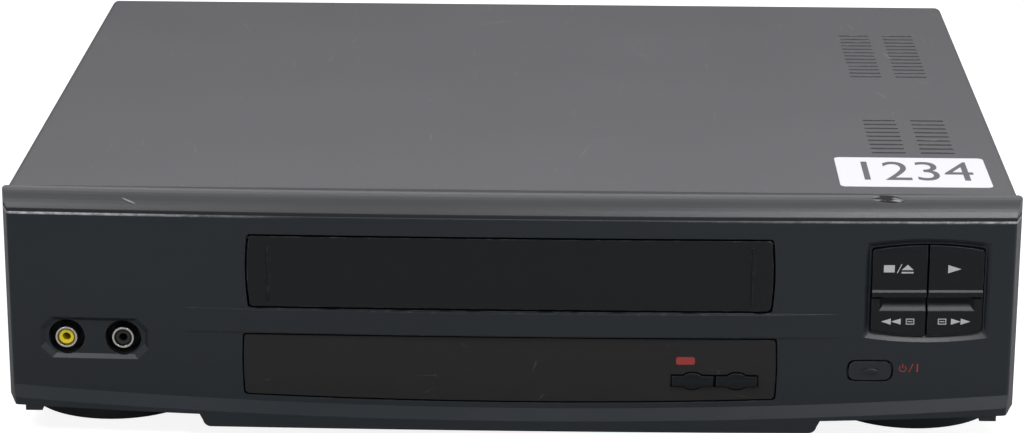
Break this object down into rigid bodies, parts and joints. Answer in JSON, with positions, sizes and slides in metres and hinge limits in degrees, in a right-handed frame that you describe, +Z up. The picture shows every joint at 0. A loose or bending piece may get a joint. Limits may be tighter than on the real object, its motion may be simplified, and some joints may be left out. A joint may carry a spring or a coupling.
{
  "type": "video cassette recorder",
  "caption": "Front-loading video cassette recorder with a bowed front, sprung cassette door, smoked display window, key block and a working-size loading mechanism.",
  "frame": {"origin": "on the floor, under the middle of the bounding box", "axes": "+X to the right seen from the front, +Y to the rear, +Z up"},
  "size_m": [0.38, 0.3054, 0.095],
  "materials": {
    "panel_plastic": "fine-grained moulded plastic",
    "door_plastic": "satin moulded plastic",
    "window_smoke": "smoked, polished",
    "key_plastic": "satin moulded plastic",
    "cover_paint": "fine textured enamel on sheet steel",
    "tray_plastic": "moulded plastic",
    "foot_plastic": "moulded plastic",
    "zinc_sheet": "zinc-plated sheet",
    "nickel": "nickel plate",
    "insert_yellow": "moulded insert",
    "insert_black": "moulded insert",
    "block_plastic": "moulded plastic",
    "display_glass": "tinted glass tube in its frame",
    "board_green": "coated laminate",
    "board_tan": "paper laminate",
    "component_black": "moulded components",
    "core_steel": "stacked laminations",
    "coil_copper": "varnished winding",
    "aluminium": "plain",
    "sleeve_blue": "shrink sleeve",
    "drum_metal": "polished",
    "wheel_steel": "turned",
    "reel_plastic": "natural acetal",
    "wheel_rubber": "ground rubber",
    "pulley_plastic": "acetal",
    "guide_brass": "cast base with steel posts",
    "lever_steel": "pressed",
    "head_metal": "shielded heads",
    "ribbon": "flat cable",
    "screw_zinc": "zinc yellow"
  },
  "bodies": {
    "chassis": {"base_tray": "tray_plastic", "feet": "foot_plastic", "top_cover": "cover_paint", "front_panel": "panel_plastic", "rear_panel": "zinc_sheet", "display_window": "window_smoke", "display_module": "display_glass", "front_board": "board_green", "push_switches": "component_black", "jack_shells": "nickel", "video_insert": "insert_yellow", "audio_insert": "insert_black", "jack_block": "block_plastic", "main_board": "board_green", "board_parts": "component_black", "tuner_can": "zinc_sheet", "aerial_sockets": "nickel", "av_sockets": "block_plastic", "mains_inlet": "block_plastic", "power_board": "board_tan", "transformer_core": "core_steel", "transformer_winding": "coil_copper", "heat_sink": "aluminium", "capacitors": "sleeve_blue", "mech_deck": "zinc_sheet", "carriage_left": "zinc_sheet", "carriage_right": "zinc_sheet", "carriage_bridge": "zinc_sheet", "lower_drum": "drum_metal", "drive_motors": "head_metal", "drive_belt": "wheel_rubber", "tape_heads": "head_metal", "flat_cable": "ribbon", "deck_screws": "screw_zinc"},
    "door": {"cassette_door": "door_plastic"},
    "stop_eject": {"stop_eject_key": "key_plastic"},
    "play": {"play_key": "key_plastic"},
    "rewind": {"rewind_key": "key_plastic"},
    "fast_forward": {"fast_forward_key": "key_plastic"},
    "standby": {"standby_key": "key_plastic"},
    "record": {"record_key": "key_plastic"},
    "channel": {"channel_rocker": "key_plastic"},
    "slides": {"rack_slides": "reel_plastic"},
    "holder": {"cassette_holder": "zinc_sheet"},
    "carriage_pinion": {"pinion_shaft": "reel_plastic"},
    "head_drum": {"upper_drum": "drum_metal", "drum_rotor": "wheel_steel"},
    "capstan": {"capstan": "wheel_steel"},
    "supply_reel": {"supply_reel": "reel_plastic"},
    "takeup_reel": {"takeup_reel": "reel_plastic"},
    "idler_arm": {"idler_arm": "lever_steel"},
    "idler_wheel": {"idler_wheel": "wheel_rubber"},
    "clutch": {"clutch_pulley": "pulley_plastic"},
    "supply_guide": {"supply_guide": "guide_brass"},
    "takeup_guide": {"takeup_guide": "guide_brass"},
    "loading_cam": {"loading_cam": "reel_plastic"},
    "loading_pinion": {"loading_pinion": "reel_plastic"},
    "pinch_arm": {"pinch_arm": "lever_steel"},
    "pinch_roller": {"pinch_roller": "wheel_rubber"},
    "tension_arm": {"tension_arm": "lever_steel"}
  },
  "joints": [
    {"name": "stop_eject_press", "type": "slide", "parent": "chassis", "child": "stop_eject", "axis": [-0.03, 0.9995, 0], "range_m": [0, 0.0008], "stiffness_N_per_m": 600, "springref_m": -0.0015},
    {"name": "play_press", "type": "slide", "parent": "chassis", "child": "play", "axis": [-0.03, 0.9995, 0], "range_m": [0, 0.0008], "stiffness_N_per_m": 600, "springref_m": -0.0015},
    {"name": "rewind_press", "type": "slide", "parent": "chassis", "child": "rewind", "axis": [-0.03, 0.9995, 0], "range_m": [0, 0.0008], "stiffness_N_per_m": 600, "springref_m": -0.0015},
    {"name": "fast_forward_press", "type": "slide", "parent": "chassis", "child": "fast_forward", "axis": [-0.03, 0.9995, 0], "range_m": [0, 0.0008], "stiffness_N_per_m": 600, "springref_m": -0.0015},
    {"name": "standby_press", "type": "slide", "parent": "chassis", "child": "standby", "axis": [-0.0261, 0.9997, 0], "range_m": [0, 0.0008], "stiffness_N_per_m": 600, "springref_m": -0.0015},
    {"name": "record_press", "type": "slide", "parent": "chassis", "child": "record", "axis": [0, 1, 0], "range_m": [0, 0.0008], "stiffness_N_per_m": 600, "springref_m": -0.0015},
    {"name": "channel_tilt", "type": "hinge", "parent": "chassis", "child": "channel", "pos_m": [0.085, -0.1421, 0.0248], "axis": [1, 0, 0], "range_deg": [-4, 4], "stiffness_Nm_per_rad": 0.02},
    {"name": "door_swing", "type": "hinge", "parent": "chassis", "child": "door", "pos_m": [0, -0.1478, 0.079], "axis": [1, 0, 0], "range_deg": [0, 86], "stiffness_Nm_per_rad": 0.002, "springref_deg": -28.65},
    {"name": "holder_in", "type": "slide", "parent": "chassis", "child": "slides", "axis": [0, 1, 0], "range_m": [0, 0.04]},
    {"name": "holder_drop", "type": "slide", "parent": "slides", "child": "holder", "axis": [0, 0, -1], "range_m": [0, 0.02]},
    {"name": "pinion_turn", "type": "hinge", "parent": "chassis", "child": "carriage_pinion", "pos_m": [0, -0.0615, 0.0828], "axis": [1, 0, 0], "range_deg": [-5, 387]},
    {"name": "drum_spin", "type": "hinge", "parent": "chassis", "child": "head_drum", "pos_m": [0, 0.0725, 0.0361], "axis": [0, -0.0958, 0.9954], "continuous": true},
    {"name": "capstan_spin", "type": "hinge", "parent": "chassis", "child": "capstan", "pos_m": [0.06, 0.0245, 0.0271], "axis": [0, 0, 1], "continuous": true},
    {"name": "clutch_spin", "type": "hinge", "parent": "chassis", "child": "clutch", "pos_m": [0, 0.0145, 0.0271], "axis": [0, 0, 1], "continuous": true},
    {"name": "supply_spin", "type": "hinge", "parent": "chassis", "child": "supply_reel", "pos_m": [-0.046, -0.0255, 0.0271], "axis": [0, 0, 1], "continuous": true},
    {"name": "takeup_spin", "type": "hinge", "parent": "chassis", "child": "takeup_reel", "pos_m": [0.046, -0.0255, 0.0271], "axis": [0, 0, 1], "continuous": true},
    {"name": "idler_swing", "type": "hinge", "parent": "chassis", "child": "idler_arm", "pos_m": [0, 0.0145, 0.0271], "axis": [0, 0, 1], "range_deg": [-30, 30]},
    {"name": "idler_spin", "type": "hinge", "parent": "idler_arm", "child": "idler_wheel", "pos_m": [0, -0.0115, 0.0271], "axis": [0, 0, 1], "continuous": true},
    {"name": "cam_turn", "type": "hinge", "parent": "chassis", "child": "loading_cam", "pos_m": [-0.078, 0.0835, 0.0271], "axis": [0, 0, 1], "range_deg": [0, 150]},
    {"name": "loading_drive", "type": "hinge", "parent": "chassis", "child": "loading_pinion", "pos_m": [-0.06255, 0.10328, 0.0271], "axis": [0, 0, 1], "range_deg": [-610, 10]},
    {"name": "takeup_load", "type": "hinge", "parent": "chassis", "child": "takeup_guide", "pos_m": [0.002, 0.0595, 0.0271], "axis": [0, 0, 1], "range_deg": [0, 80]},
    {"name": "supply_load", "type": "hinge", "parent": "chassis", "child": "supply_guide", "pos_m": [-0.002, 0.0595, 0.0271], "axis": [0, 0, 1], "range_deg": [-80, 0]},
    {"name": "pinch_close", "type": "hinge", "parent": "chassis", "child": "pinch_arm", "pos_m": [0.092, 0.041, 0.0271], "axis": [0, 0, 1], "range_deg": [0, 14]},
    {"name": "pinch_spin", "type": "hinge", "parent": "pinch_arm", "child": "pinch_roller", "pos_m": [0.05601, 0.04198, 0.0271], "axis": [0, 0, 1], "continuous": true},
    {"name": "tension_swing", "type": "hinge", "parent": "chassis", "child": "tension_arm", "pos_m": [-0.088, 0.0395, 0.0271], "axis": [0, 0, 1], "range_deg": [0, 25], "stiffness_Nm_per_rad": 0.01, "springref_deg": -17.19}
  ],
  "couplings": [
    {"joint": "pinion_turn", "follows": "holder_in", "rad_per_m": 166.67},
    {"joint": "clutch_spin", "follows": "capstan_spin", "ratio": 0.8182},
    {"joint": "loading_drive", "follows": "cam_turn", "ratio": -4},
    {"joint": "takeup_load", "follows": "cam_turn", "ratio": 0.5333},
    {"joint": "supply_load", "follows": "cam_turn", "ratio": -0.5333},
    {"joint": "pinch_close", "follows": "cam_turn", "ratio": 0.0933}
  ]
}
